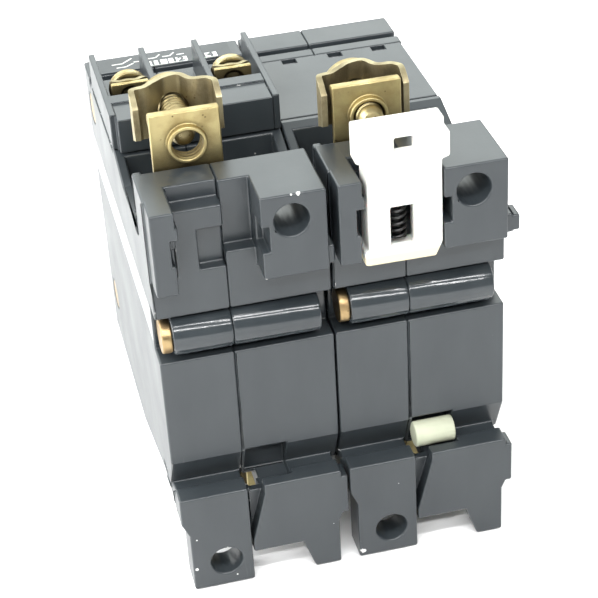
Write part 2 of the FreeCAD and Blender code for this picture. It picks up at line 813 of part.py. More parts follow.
def fixed_contact(pole, start):
    name = f"fixed_contact_{pole}"
    return subpart(
        name,
        cylinder(
            name, "z", f"{start} + fixed_contact_x", "fixed_contact_y",
            "strap_leg_z - fixed_contact_length", "contact_r", "fixed_contact_length",
        ),
    )


def moving_contact(pole, start):
    """The contact arm with its button, hub and tail pin, drawn closed and stored open."""
    name = f"moving_contact_{pole}"
    bar = profile(f"{name}_bar", "YZ", ARM_OUTLINE, "arm_x", "arm_width")
    tail = profile(f"{name}_tail", "YZ", TAIL_OUTLINE, "arm_x", "arm_width")
    hub = cylinder(f"{name}_hub", "x", "arm_x", "0", "0", "arm_hub_r", "arm_width")
    button = cylinder(
        f"{name}_button", "z", "fixed_contact_x", "arm_contact_reach", "arm_contact_base_z - button_sink",
        "button_r", "arm_contact_length + button_sink",
    )
    pin = cylinder(
        f"{name}_pin", "x", "arm_x", "arm_tail_y", "arm_tail_z", "crank_pin_r",
        "arm_width + crank_pin_overhang",
    )
    bore = cylinder(
        f"{name}_bore", "x", "arm_x - overrun", "0", "0", "pivot_hole_r", "arm_width + 2 * overrun"
    )
    arm = cut(name, fuse(f"{name}_solid", bar, tail, hub, button, pin), bore)
    return subpart(name, turn(arm, "arm_open_angle", "arm_pivot_y", "arm_pivot_z", start))


def pivot_pins(pole, start):
    """The pins of the contact arm and of the handle."""
    for name, y, z in (
        (f"contact_pin_{pole}", "arm_pivot_y", "arm_pivot_z"),
        (f"handle_pin_{pole}", "handle_pivot_y", "handle_pivot_z"),
    ):
        subpart(
            name, cylinder(name, "x", f"{start} + pin_start_x", y, z, "pivot_pin_r", "pin_length")
        )


def toggle_handle(pole, start):
    """The toggle handle: a slotted hub, a stem and a grip, stored in the off position."""
    name = f"toggle_handle_{pole}"
    hub = cylinder(f"{name}_hub", "x", "handle_x", "0", "0", "hub_r", "handle_width")
    slot = box(f"{name}_slot", "hub_slot_x", "-10", "-10", "hub_slot_width", "9.5", "20")
    bore = cylinder(f"{name}_bore", "x", "handle_x - 1", "0", "0", "pivot_hole_r", "handle_width + 2")
    pin = cylinder(
        f"{name}_crank_pin", "x", "crank_pin_x", "crank_y", "0", "crank_pin_r", "crank_pin_length"
    )
    slotted = cut(f"{name}_slotted", hub, slot)
    stem = block("handle_stem")
    grip = block("handle_grip")
    handle = cut(name, fuse(f"{name}_solid", slotted, stem, grip, pin), bore)
    return subpart(name, turn(handle, "handle_off_angle", "handle_pivot_y", "handle_pivot_z", start))


def handle_tie():
    """The bar that ties both handles, so that the poles switch together."""
    tie = group("handle_tie", [block("handle_tie")])
    return subpart("handle_tie", turn(tie, "handle_off_angle", "handle_pivot_y", "handle_pivot_z"))


def toggle_link(pole, start):
    """The link from the crank pin of the handle up to the tail pin of the contact arm."""
    name = f"toggle_link_{pole}"
    near = cylinder(f"{name}_near", "x", "link_x", "0", "0", "link_eye_r", "link_width")
    far = cylinder(
        f"{name}_far", "x", "link_x", "link_rise_y", "link_rise_z", "link_far_eye_r", "link_width"
    )
    low = "link_x - overrun"
    length = "link_width + 2 * overrun"
    near_hole = cylinder(f"{name}_near_hole", "x", low, "0", "0", "link_hole_r", length)
    far_hole = cylinder(f"{name}_far_hole", "x", low, "link_rise_y", "link_rise_z", "link_slot_r", length)
    bar = profile(f"{name}_bar", "YZ", LINK_OUTLINE, "link_x", "link_width")
    link = cut(name, fuse(f"{name}_solid", near, far, bar), near_hole, far_hole)
    crank_pin_y = "handle_pivot_y + crank_y * cos(1deg * handle_off_angle)"
    crank_pin_z = "handle_pivot_z + crank_y * sin(1deg * handle_off_angle)"
    move(link, start, crank_pin_y, crank_pin_z)
    return subpart(name, link)


def mechanism_frame(pole, start):
    """Two side plates and a web that carry the pins of the handle, the arm and the trip bar."""
    name = f"mechanism_frame_{pole}"
    solid = fuse(
        f"{name}_solid",
        block("frame_plate_left", start),
        block("frame_plate_right", start),
        block("frame_web", start),
    )
    tools = []
    for y, z, radius in (
        ("arm_pivot_y", "arm_pivot_z", "pivot_hole_r"),
        ("handle_pivot_y", "handle_pivot_z", "pivot_hole_r"),
        ("trip_bar_y", "trip_bar_z", "trip_bar_hole_r"),
    ):
        tools.append(cylinder(f"{name}_hole", "x", f"{start} + frame_left_x - 1", y, z, radius, "18"))
    return subpart(name, cut(name, solid, *tools))


def trip_bar():
    """The bar through both poles that lets an overload in one pole open them all."""
    rod = cylinder(
        "trip_rod", "x", "trip_bar_start_x", "trip_bar_y", "trip_bar_z", "trip_bar_r", "trip_bar_length"
    )
    flags = []
    for start in POLES.values():
        flags += [block("trip_flag", start), block("trip_flag_tab", start)]
    return subpart("trip_bar", fuse("trip_bar", rod, *flags))


def coil(pole, start):
    """The series coil on its bobbin, with its lead to the lower strap."""
    name = f"trip_coil_{pole}"
    x = f"{start} + coil_x"
    winding = cylinder(f"{name}_winding", "y", x, "coil_y", "coil_z", "coil_r", "coil_length")
    flanges = [
        cylinder(f"{name}_flange", "y", x, y, "coil_z", "flange_r", "flange_length")
        for y in ("coil_y", "coil_y + coil_length - flange_length")
    ]
    lead = block("coil_lead", start)
    bore = cylinder(f"{name}_bore", "y", x, "coil_y - 1", "coil_z", "core_bore_r", "coil_length + 2")
    return subpart(name, cut(name, fuse(f"{name}_solid", winding, lead, *flanges), bore))


def magnet(pole, start):
    """The core tube, the yoke and the armature of the magnetic release."""
    core = cylinder(
        f"core_tube_{pole}", "y", f"{start} + coil_x", "coil_y", "coil_z", "core_r",
        "coil_length + core_overhang",
    )
    subpart(f"core_tube_{pole}", core)
    yoke = fuse(f"magnet_yoke_{pole}", block("yoke_rear", start), block("yoke_side", start))
    subpart(f"magnet_yoke_{pole}", yoke)
    plates = (block("armature_plate", start), block("armature_foot", start))
    subpart(f"armature_{pole}", fuse(f"armature_{pole}", *plates))


def arc_chute(pole, start):
    """Notched steel plates between two fibre walls beside the contacts."""
    walls = [block("arc_wall_left", start), block("arc_wall_right", start)]
    subpart(f"arc_chute_walls_{pole}", group(f"arc_chute_walls_{pole}", walls))
    plates = []
    for index in range(ARC_PLATE_COUNT):
        rise = str(index * ARC_PLATE_STEP)
        plates.append(
            cut(f"arc_plate_{pole}_{index}", block("arc_plate", start, rise=rise),
                block("arc_notch", start, rise=rise))
        )
    subpart(f"arc_plates_{pole}", group(f"arc_plates_{pole}", plates))


def braid(pole, start):
    """The flexible braid from the coil to the hub of the contact arm."""
    name = f"flexible_braid_{pole}"
    low = f"{start} + arm_x + braid_inset"
    return subpart(name, profile(name, "YZ", BRAID_OUTLINE, low, "arm_width - 2 * braid_inset"))


def coil_spring(name, radius, wire, pitch_length, turns):
    """A helical spring along Z from the origin, swept along a helix."""
    helix = doc.addObject("Part::Helix", f"{name}_helix")
    helix.setExpression("Height", bound(pitch_length))
    helix.setExpression("Radius", bound(radius))
    helix.setExpression("Pitch", bound(f"({pitch_length}) / {turns}"))
    circle = doc.addObject("Part::Circle", f"{name}_wire")
    circle.setExpression("Radius", bound(wire))
    circle.Placement = FreeCAD.Placement(
        FreeCAD.Vector(), FreeCAD.Rotation(FreeCAD.Vector(1, 0, 0), 90)
    )
    circle.setExpression("Placement.Base.x", bound(radius))
    sweep = doc.addObject("Part::Sweep", name)
    sweep.Sections = [circle]
    sweep.Spine = (helix, ["Edge1"])
    sweep.Solid = True
    sweep.Frenet = True
    return sweep


def contact_spring(pole, start):
    """The torsion spring round the pin of the contact arm."""
    name = f"contact_spring_{pole}"
    spring = coil_spring(
        name, "contact_spring_r", "contact_spring_wire_r", "contact_spring_length", "contact_spring_turns"
    )
    spring.Placement = FreeCAD.Placement(FreeCAD.Vector(), AXES["x"])
    return subpart(name, move(spring, f"{start} + contact_spring_x", "arm_pivot_y", "arm_pivot_z"))


def top_cover():
    """The flat cover in the top recess of pole B, with three notches in its front edge."""
    notches = [block("cover_notch", f"pole_b_x + {x}") for x in COVER_NOTCH_X]
    return subpart("top_cover_b", cut("top_cover_b", block("cover_plate", "pole_b_x"), *notches))


def aux_switch():
    """The auxiliary switch on pole A: housing with barrier ribs, terminals and plunger."""
    ribs = []
    for x, start_y in zip(AUX_RIB_X, AUX_RIB_START_Y):
        ribs.append(
            box("aux_rib", str(x), str(start_y), "top_z", "aux_rib_width", f"aux_rib_end_y - {start_y}",
                "aux_rib_top_z - top_z")
        )
    solid = fuse(
        "aux_housing_solid", block("aux_floor"), block("aux_ledge"), block("aux_ledge_step"), *ribs
    )
    bore = plunger_hole("aux_housing")
    housing = cut("aux_housing", solid, block("aux_middle_well"), bore)
    subpart("aux_housing", housing)
    plates, washers, screws = [], [], []
    for index, x in enumerate(AUX_SCREW_X):
        shift = str(x - AUX_SCREW_X[0])
        hole = cylinder(
            "aux_plate_hole", "y", str(x), "aux_hole_y", "aux_screw_z", "aux_hole_r", "aux_hole_length"
        )
        plate = fuse(f"aux_plate_solid_{index}", block("aux_plate_foot", shift), block("aux_plate", shift))
        plates.append(cut(f"aux_plate_{index}", plate, hole))
        washer_hole = cylinder(
            "aux_washer_hole", "y", str(x), "aux_hole_y", "aux_screw_z", "aux_hole_r", "aux_hole_length"
        )
        washers.append(cut(f"aux_washer_{index}", block("aux_washer", shift), washer_hole))
        head = cylinder(
            "aux_head", "y", str(x), "aux_head_y", "aux_screw_z", "aux_head_r", "aux_head_length"
        )
        shank = cylinder(
            "aux_shank", "y", str(x), "aux_shank_y", "aux_screw_z", "aux_shank_r",
            "aux_head_y - aux_shank_y + overlap",
        )
        screws.append(fuse(f"aux_screw_{index}", head, shank))
    subpart("aux_terminal_plates", group("aux_terminal_plates", plates))
    subpart("aux_washers", group("aux_washers", washers))
    subpart("aux_screws", group("aux_screws", screws))
    subpart(
        "aux_plunger",
        cylinder(
            "aux_plunger", "z", "pole_a_x + plunger_x", "plunger_y", "plunger_z", "plunger_r",
            "plunger_length",
        ),
    )
    subpart("contact_label", group("contact_label", [block("label")]))


def rail_latch():
    """The white latch that slides up to release the rail, its spring and the rail bumper."""
    plate = profile("din_latch_plate", "XZ", LATCH_OUTLINE, "latch_y", "latch_thickness + latch_backing")
    head_trim = box("latch_head_trim", "0", "hook_back_y", "30.6", "20", "4", "12")
    latch = cut(
        "din_latch", plate, block("latch_window"), block("latch_slot"), block("latch_slot_pocket"),
        block("latch_spring_pocket"), block("latch_lip_relief"), head_trim,
    )
    subpart("din_latch", latch)
    spring = coil_spring("latch_spring", "spring_r", "spring_wire_r", "spring_height", "spring_turns")
    subpart("latch_spring", move(spring, "spring_x", "spring_y", "spring_z"))
    roller = cylinder("bumper_roller", "x", "bumper_x", "bumper_y", "bumper_z", "bumper_r", "bumper_length")
    subpart("rail_bumper", group("rail_bumper", [roller]))


def build():
    for pole, start in POLES.items():
        left_shell(pole, start)
        right_shell(pole, start)
        upper_strap(pole, start)
        lower_strap(pole, start)
        for level in ("upper", "lower"):
            clamp(level, pole, start)
            terminal_screw(level, pole, start)
        fixed_contact(pole, start)
        moving_contact(pole, start)
        pivot_pins(pole, start)
        toggle_handle(pole, start)
        toggle_link(pole, start)
        mechanism_frame(pole, start)
        coil(pole, start)
        magnet(pole, start)
        arc_chute(pole, start)
        braid(pole, start)
        contact_spring(pole, start)
    rivets()
    handle_tie()
    trip_bar()
    top_cover()
    aux_switch()
    rail_latch()
    doc.recompute()


def check():
    """Stop unless every object is computed and every sub-part is a valid shape."""
    for item in doc.Objects:
        if "Invalid" in item.State or "Error" in item.State:
            raise RuntimeError(f"{item.Name} failed: {item.State}")
    for name, piece in subparts.items():
        if piece.Shape.isNull() or not piece.Shape.isValid() or not piece.Shape.Solids:
            raise RuntimeError(f"{name} has no valid solid")


def export():
    os.makedirs("parts", exist_ok=True)
    for name, piece in subparts.items():
        piece.Shape.exportStep(f"parts/{name}.step")


build()
check()
export()
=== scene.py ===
"""Looks of the two-pole moulded-case circuit breaker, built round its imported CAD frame."""

import json
import math

import bmesh
import bpy
from mathutils import Matrix, Vector


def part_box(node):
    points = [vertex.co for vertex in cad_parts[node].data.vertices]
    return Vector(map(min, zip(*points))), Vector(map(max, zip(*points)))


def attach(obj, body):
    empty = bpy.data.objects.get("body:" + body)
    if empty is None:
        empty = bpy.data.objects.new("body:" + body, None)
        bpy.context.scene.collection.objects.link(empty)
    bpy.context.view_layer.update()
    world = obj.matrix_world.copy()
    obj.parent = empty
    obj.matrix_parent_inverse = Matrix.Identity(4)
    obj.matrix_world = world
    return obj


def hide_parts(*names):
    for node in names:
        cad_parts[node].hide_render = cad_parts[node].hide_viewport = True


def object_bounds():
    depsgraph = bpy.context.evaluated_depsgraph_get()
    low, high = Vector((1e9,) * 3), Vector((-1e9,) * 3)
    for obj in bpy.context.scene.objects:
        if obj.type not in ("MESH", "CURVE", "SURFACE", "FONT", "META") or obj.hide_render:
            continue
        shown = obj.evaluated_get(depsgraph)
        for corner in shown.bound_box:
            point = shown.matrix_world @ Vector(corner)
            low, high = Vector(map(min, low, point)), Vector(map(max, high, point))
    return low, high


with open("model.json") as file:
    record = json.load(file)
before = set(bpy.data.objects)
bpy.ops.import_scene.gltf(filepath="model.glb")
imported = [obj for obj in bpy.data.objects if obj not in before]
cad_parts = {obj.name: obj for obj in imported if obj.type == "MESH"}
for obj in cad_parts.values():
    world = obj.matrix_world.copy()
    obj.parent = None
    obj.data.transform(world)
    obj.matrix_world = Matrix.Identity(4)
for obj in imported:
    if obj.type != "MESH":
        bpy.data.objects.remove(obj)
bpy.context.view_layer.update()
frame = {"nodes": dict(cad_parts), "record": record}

MM = 0.001
NODES = frame["nodes"]
POLES = ("a", "b")
LEVELS = ("upper", "lower")

# heights of two marks in the finishes and the pitch of every thread, in millimetres
RIVET_Z = 8.0                                       # the middle of the smoother band round the rivets
LATCH_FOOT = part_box("din_latch")[0].z / MM + 1.5    # under this height the rail latch has yellowed
THREAD_PITCH = 0.8


# ---------------------------------------------------------------- camera, floor and light

CAMERA_AZIMUTH = math.radians(-11.72)
CAMERA_ELEVATION = math.radians(32.915)
CAMERA_ROLL = math.radians(-3.60)
CAMERA_DISTANCE = 247.885 * MM
CAMERA_TARGET = Vector((-4.80, 0.0, 11.03)) * MM
CAMERA_LENS = 108.7
SENSOR_WIDTH = 36.0

# every softbox is turned to the target; its row is name, place and sides in metres, power in watts, colour
LIGHT_TARGET = (0, 0.02, 0.01)
NEUTRAL = (1.0, 1.0, 1.0)
PALE_GREEN = (0.94, 1.0, 0.975)
SOFTBOXES = (
    ("upper_strip", (-0.04, -0.235, 0.455), (0.95, 0.022), 3.3, NEUTRAL),
    ("front_strip", (-0.04, -0.36, 0.35), (0.95, 0.022), 3.3, NEUTRAL),
    ("back_softbox", (0.0, 0.72, 0.52), (1.0, 0.70), 7.4, PALE_GREEN),
    ("left_softbox", (-0.62, 0.16, 0.26), (0.9, 0.6), 11.0, NEUTRAL),
)
SKY_COLOUR = (0.975, 1.0, 0.985)
SKY_STRENGTH = 0.36
FLOOR_HALF_WIDTH = 3.0
FLOOR_GAP = 0.0002
FLOOR_GREY = 0.93
FLOOR_ROUGHNESS = 0.9


def make_camera():
    """The photo's view of the part at rest."""
    back = Vector((
        math.sin(CAMERA_AZIMUTH) * math.cos(CAMERA_ELEVATION),
        -math.cos(CAMERA_AZIMUTH) * math.cos(CAMERA_ELEVATION),
        math.sin(CAMERA_ELEVATION),
    ))
    right = (-back).cross(Vector((0, 0, 1))).normalized()
    up = right.cross(-back)
    rolled_right = right * math.cos(CAMERA_ROLL) + up * math.sin(CAMERA_ROLL)
    rolled_up = -right * math.sin(CAMERA_ROLL) + up * math.cos(CAMERA_ROLL)
    axes = Matrix((rolled_right, rolled_up, back)).transposed().to_4x4()
    camera = bpy.data.objects.new("camera", bpy.data.cameras.new("camera"))
    camera.matrix_world = Matrix.Translation(CAMERA_TARGET + back * CAMERA_DISTANCE) @ axes
    camera.data.lens = CAMERA_LENS
    camera.data.sensor_width = SENSOR_WIDTH
    camera.data.clip_start = 0.01
    bpy.context.scene.collection.objects.link(camera)
    bpy.context.scene.camera = camera


def area_light(name, place, size, power, colour):
    """A softbox turned to the part, with the first side of its size level and along X where it can be."""
    lamp = bpy.data.lights.new(name, "AREA")
    lamp.shape = "RECTANGLE"
    lamp.size, lamp.size_y = size
    lamp.energy = power
    lamp.color = colour
    obj = bpy.data.objects.new(name, lamp)
    back = (Vector(place) - Vector(LIGHT_TARGET)).normalized()
    side = (Vector((1, 0, 0)) - back * back.x).normalized()
    axes = Matrix((side, back.cross(side), back)).transposed().to_4x4()
    obj.matrix_world = Matrix.Translation(place) @ axes
    bpy.context.scene.collection.objects.link(obj)


def make_studio():
    """An even pale sky, the softboxes and the white floor that the part stands on."""
    world = bpy.data.worlds.new("studio")
    world.use_nodes = True
    background = world.node_tree.nodes["Background"]
    background.inputs["Color"].default_value = (*SKY_COLOUR, 1)
    background.inputs["Strength"].default_value = SKY_STRENGTH
    bpy.context.scene.world = world
    bpy.context.scene.view_settings.view_transform = "Standard"
    for softbox in SOFTBOXES:
        area_light(*softbox)
    mesh = bpy.data.meshes.new("floor")
    half = FLOOR_HALF_WIDTH
    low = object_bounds()[0][2] - FLOOR_GAP
    mesh.from_pydata(
        [(-half, -half, low), (half, -half, low), (half, half, low), (-half, half, low)], [], [(0, 1, 2, 3)]
    )
    floor = bpy.data.objects.new("floor", mesh)
    bpy.context.scene.collection.objects.link(floor)
    material = bpy.data.materials.new("pale_floor")
    material.use_nodes = True
    shader = material.node_tree.nodes["Principled BSDF"]
    shader.inputs["Base Color"].default_value = (FLOOR_GREY, FLOOR_GREY, FLOOR_GREY, 1)
    shader.inputs["Roughness"].default_value = FLOOR_ROUGHNESS
    mesh.materials.append(material)


# ---------------------------------------------------------------- materials

NOISE_ROUGHNESS = 0.55
BEVEL_SAMPLES = 4
AO_SAMPLES = 6
EDGE_START, EDGE_FULL = 0.985, 0.86      # cosines between the true normal and the rounded one
OPEN_AIR, DEEP_CORNER = 0.85, 0.25       # shares of open sky
MIX_FIRST, MIX_SECOND, MIX_RESULT = 6, 7, 2    # the colour sockets of a mix node


class Shader:
    """A material's node tree, with short calls for the nodes that every finish uses."""

    def __init__(self, name, **fixed):
        self.material = bpy.data.materials.new(name)
        self.material.use_nodes = True
        self.tree = self.material.node_tree
        self.bsdf = self.tree.nodes["Principled BSDF"]
        self.place = self.tree.nodes.new("ShaderNodeTexCoord").outputs["Object"]
        for key, value in fixed.items():
            self.bsdf.inputs[key.replace("_", " ")].default_value = value

    def link(self, output, target):
        self.tree.links.new(output, target)

    def noise(self, scale, detail=4.0, stretch=None):
        """Cloudy noise from about 0.2 to 0.8, scale cells to the metre."""
        node = self.tree.nodes.new("ShaderNodeTexNoise")
        node.inputs["Scale"].default_value = scale
        node.inputs["Detail"].default_value = detail
        node.inputs["Roughness"].default_value = NOISE_ROUGHNESS
        self.link(self.stretched(stretch), node.inputs["Vector"])
        return node.outputs["Fac"]

    def stretched(self, stretch):
        """The object's own coordinates, finer along the axes with larger numbers."""
        if stretch is None:
            return self.place
        node = self.tree.nodes.new("ShaderNodeMapping")
        node.inputs["Scale"].default_value = stretch
        self.link(self.place, node.inputs["Vector"])
        return node.outputs["Vector"]

    def cells(self, scale):
        """Distance to the nearest of scattered points, in cells: small on spots."""
        node = self.tree.nodes.new("ShaderNodeTexVoronoi")
        node.inputs["Scale"].default_value = scale
        self.link(self.place, node.inputs["Vector"])
        return node.outputs["Distance"]

    def ramp(self, value, low, high, out_low=0.0, out_high=1.0):
        """A value between low and high, clamped and spread over the out range."""
        node = self.tree.nodes.new("ShaderNodeMapRange")
        node.inputs["From Min"].default_value = low
        node.inputs["From Max"].default_value = high
        node.inputs["To Min"].default_value = out_low
        node.inputs["To Max"].default_value = out_high
        self.link(value, node.inputs["Value"])
        return node.outputs["Result"]

    def math(self, kind, first, second):
        """First and second, a number or an output, put together and clamped to 0..1."""
        node = self.tree.nodes.new("ShaderNodeMath")
        node.operation = kind
        node.use_clamp = True
        self.link(first, node.inputs[0])
        if isinstance(second, float):
            node.inputs[1].default_value = second
        else:
            self.link(second, node.inputs[1])
        return node.outputs["Value"]

    def edges(self, radius=0.22 * MM):
        """How much a point lies on a rounded edge, from 0 to 1."""
        rounded = self.tree.nodes.new("ShaderNodeBevel")
        rounded.samples = BEVEL_SAMPLES
        rounded.inputs["Radius"].default_value = radius
        flat = self.tree.nodes.new("ShaderNodeNewGeometry").outputs["Normal"]
        dot = self.tree.nodes.new("ShaderNodeVectorMath")
        dot.operation = "DOT_PRODUCT"
        self.link(rounded.outputs["Normal"], dot.inputs[0])
        self.link(flat, dot.inputs[1])
        return self.ramp(dot.outputs["Value"], EDGE_START, EDGE_FULL)

    def corners(self, reach):
        """One deep inside a corner or hollow, zero in the open."""
        node = self.tree.nodes.new("ShaderNodeAmbientOcclusion")
        node.samples = AO_SAMPLES
        node.inputs["Distance"].default_value = reach
        return self.ramp(node.outputs["AO"], OPEN_AIR, DEEP_CORNER)

    def height(self, low, high):
        """Zero at or under a height in millimetres, one at or over another."""
        node = self.tree.nodes.new("ShaderNodeSeparateXYZ")
        self.link(self.place, node.inputs["Vector"])
        return self.ramp(node.outputs["Z"], low * MM, high * MM)

    def near(self, place, reach):
        """One inside a ragged blot round a place in millimetres, zero outside."""
        away = self.tree.nodes.new("ShaderNodeVectorMath")
        away.operation = "DISTANCE"
        self.link(self.place, away.inputs[0])
        away.inputs[1].default_value = tuple(c * MM for c in place)
        reach *= MM
        frayed = self.math("MULTIPLY", self.noise(1900.0, 2.0), 1.1 * reach)
        return self.ramp(self.math("ADD", away.outputs["Value"], frayed), 1.06 * reach, 0.94 * reach)

    def mix(self, factor, first, second):
        """The first colour where the factor is 0, the second where it is 1."""
        node = self.tree.nodes.new("ShaderNodeMix")
        node.data_type = "RGBA"
        self.link(factor, node.inputs["Factor"])
        for socket, colour in ((node.inputs[MIX_FIRST], first), (node.inputs[MIX_SECOND], second)):
            if isinstance(colour, tuple):
                socket.default_value = (*colour, 1)
            else:
                self.link(colour, socket)
        return node.outputs[MIX_RESULT]

    def bump(self, height, distance, strength, after=None):
        """A normal that follows a height, distance metres deep, on top of the normal after."""
        node = self.tree.nodes.new("ShaderNodeBump")
        node.inputs["Distance"].default_value = distance
        node.inputs["Strength"].default_value = strength
        self.link(height, node.inputs["Height"])
        if after is not None:
            self.link(after, node.inputs["Normal"])
        return node.outputs["Normal"]

    def finish(self, colour, roughness, normal):
        self.link(colour, self.bsdf.inputs["Base Color"])
        self.link(roughness, self.bsdf.inputs["Roughness"])
        self.link(normal, self.bsdf.inputs["Normal"])
        return self.material


# places where the moulding is chipped and how far each chip reaches, in millimetres
CHIPS = (
    (-4.9, -4.4, 30.1, 0.55), (-5.9, -4.4, 30.1, 0.35), (1.6, -4.4, -32.2, 0.75),
    (-23.4, -4.4, -29.4, 0.45), (-9.9, -4.4, 17.9, 0.30), (-22.9, -4.4, -24.0, 0.28),
    (-18.6, -4.4, -26.4, 0.22), (7.4, -4.4, -20.8, 0.26), (-17.5, -4.4, -31.8, 0.30),
    (-2.6, -4.4, -25.9, 0.22),
)

# half the height of the smoother band round the rivets, first with its soft border and then without
BOSS_HALF, BOSS_SURE = 3.0, 2.8
BOSS_SHINE = 0.20


def thermoset(name, tone=1.0, shine=0.0):
    """Black glass-filled moulding: fine grain, faint flow marks, edges lightened partly by rubbing and partly
    as painted highlight, scuffs, specks, pale nicks and chips.
    """
    s = Shader(name, IOR=1.52)
    flow = s.noise(150.0, 5.0, stretch=(1.0, 1.0, 0.35))
    dark = tuple(tone * c for c in (0.021, 0.026, 0.030))
    pale = tuple(tone * c for c in (0.030, 0.036, 0.040))
    colour = s.mix(s.ramp(flow, 0.30, 0.72), dark, pale)
    edge = s.edges()
    # lighter edges: partly rubbed wear, partly a painted highlight where the rounded edges catch the light
    worn_and_highlit_edges = s.math("MULTIPLY", edge, s.ramp(s.noise(260.0, 3.0), 0.42, 0.66))
    colour = s.mix(s.math("MULTIPLY", worn_and_highlit_edges, 0.30), colour, (0.22, 0.24, 0.24))
    nicks = s.math("MULTIPLY", edge, s.ramp(s.noise(700.0, 2.0), 0.66, 0.70))
    colour = s.mix(s.math("MULTIPLY", nicks, 0.85), colour, (0.72, 0.72, 0.69))
    specks = s.math("MULTIPLY", s.ramp(s.cells(330.0), 0.050, 0.025), s.ramp(s.noise(62.0), 0.62, 0.66))
    colour = s.mix(s.math("MULTIPLY", specks, 0.75), colour, (0.55, 0.55, 0.53))
    for x, y, z, size in CHIPS:
        chip = s.near((x, y, z), size)
        colour = s.mix(chip, colour, (0.80, 0.80, 0.77))
    scratches = s.ramp(s.noise(210.0, 2.0, stretch=(9.0, 9.0, 0.5)), 0.72, 0.76)
    patch = s.ramp(s.noise(45.0, 2.0), 0.55, 0.66)
    colour = s.mix(s.math("MULTIPLY", s.math("MULTIPLY", scratches, patch), 0.16), colour, (0.30, 0.31, 0.31))
    rough = s.ramp(s.noise(110.0, 5.0), 0.30, 0.75, 0.30 - shine, 0.38 - shine)
    over = s.height(RIVET_Z - BOSS_HALF, RIVET_Z - BOSS_SURE)
    under = s.height(RIVET_Z + BOSS_HALF, RIVET_Z + BOSS_SURE)
    rough = s.math("SUBTRACT", rough, s.math("MULTIPLY", s.math("MULTIPLY", over, under), BOSS_SHINE))
    grain = s.bump(s.noise(4200.0, 2.0), 0.02 * MM, 0.35)
    normal = s.bump(s.noise(260.0, 3.0), 0.03 * MM, 0.35, grain)
    return s.finish(colour, rough, normal)


def brass(name, base, dull, streak=(1.0, 1.0, 1.0), rough=0.30):
    """Stamped brass: rolled streaks, brown tarnish in patches, painted shade in corners, and bright edges
    that are partly rubbed wear and partly painted highlight.
    """
    s = Shader(name, Metallic=1.0)
    tarnish = s.ramp(s.noise(260.0, 5.0), 0.42, 0.70)
    colour = s.mix(tarnish, base, dull)
    spots = s.ramp(s.cells(900.0), 0.16, 0.05)
    colour = s.mix(s.math("MULTIPLY", spots, s.ramp(s.noise(300.0), 0.52, 0.62)), colour, (0.09, 0.06, 0.03))
    # bright edges: partly rubbed wear, partly a painted highlight where the rounded edges catch the light
    colour = s.mix(s.math("MULTIPLY", s.edges(0.12 * MM), 0.6), colour, (0.62, 0.56, 0.38))
    # painted shade: dark brown in corners and hollows, where shade falls
    colour = s.mix(s.math("MULTIPLY", s.corners(6 * MM), 0.8), colour, (0.10, 0.075, 0.04))
    fine = s.noise(1400.0, 3.0, stretch=streak)
    dulled = s.ramp(tarnish, 0.0, 1.0, rough, rough + 0.16)
    roughness = s.math("ADD", s.ramp(fine, 0.3, 0.7, 0.0, 0.18), dulled)
    normal = s.bump(fine, 0.04 * MM, 0.6, s.bump(s.noise(220.0), 0.1 * MM, 0.4))
    return s.finish(colour, roughness, normal)


def metal(name, base, other, rough=0.32, metallic=1.0):
    """Plated or blackened steel, silver and copper: two tones in patches and rubbed edges."""
    s = Shader(name, Metallic=metallic)
    colour = s.mix(s.ramp(s.noise(300.0, 5.0), 0.35, 0.7), base, other)
    colour = s.mix(s.math("MULTIPLY", s.edges(), 0.5), colour, tuple(min(1.0, 1.35 * c) for c in base))
    roughness = s.ramp(s.noise(900.0, 3.0), 0.3, 0.7, rough, rough + 0.18)
    return s.finish(colour, roughness, s.bump(s.noise(1800.0, 2.0), 0.03 * MM, 0.5))


GRIME = (0.35, 0.33, 0.28)
YELLOWING = (0.88, 0.80, 0.58)    # what is left of the red, green and blue of an aged plastic
FOOT_BORDER = 0.15                # half the width of the border of a yellowed foot, in millimetres


def moulded(name, base, other, rough, grimy=0.25, soft=0.0, foot=None):
    """Plain plastic, rubber or fibre: flow marks, grime in patches, and yellowing under the foot's height."""
    s = Shader(name, IOR=1.5, Subsurface_Weight=soft, Subsurface_Scale=1 * MM)
    colour = s.mix(s.ramp(s.noise(180.0, 4.0), 0.3, 0.7), base, other)
    patches = s.math("MULTIPLY", s.ramp(s.noise(420.0, 5.0), 0.56, 0.74), grimy)
    colour = s.mix(patches, colour, GRIME)
    if foot is not None:
        aged = tuple(c * left for c, left in zip(base, YELLOWING))
        colour = s.mix(s.height(foot + FOOT_BORDER, foot - FOOT_BORDER), colour, aged)
    roughness = s.ramp(s.noise(240.0, 3.0), 0.3, 0.7, rough, rough + 0.14)
    normal = s.bump(s.noise(2600.0, 2.0), 0.03 * MM, 0.5, s.bump(s.noise(260.0), 0.1 * MM, 0.3))
    return s.finish(colour, roughness, normal)


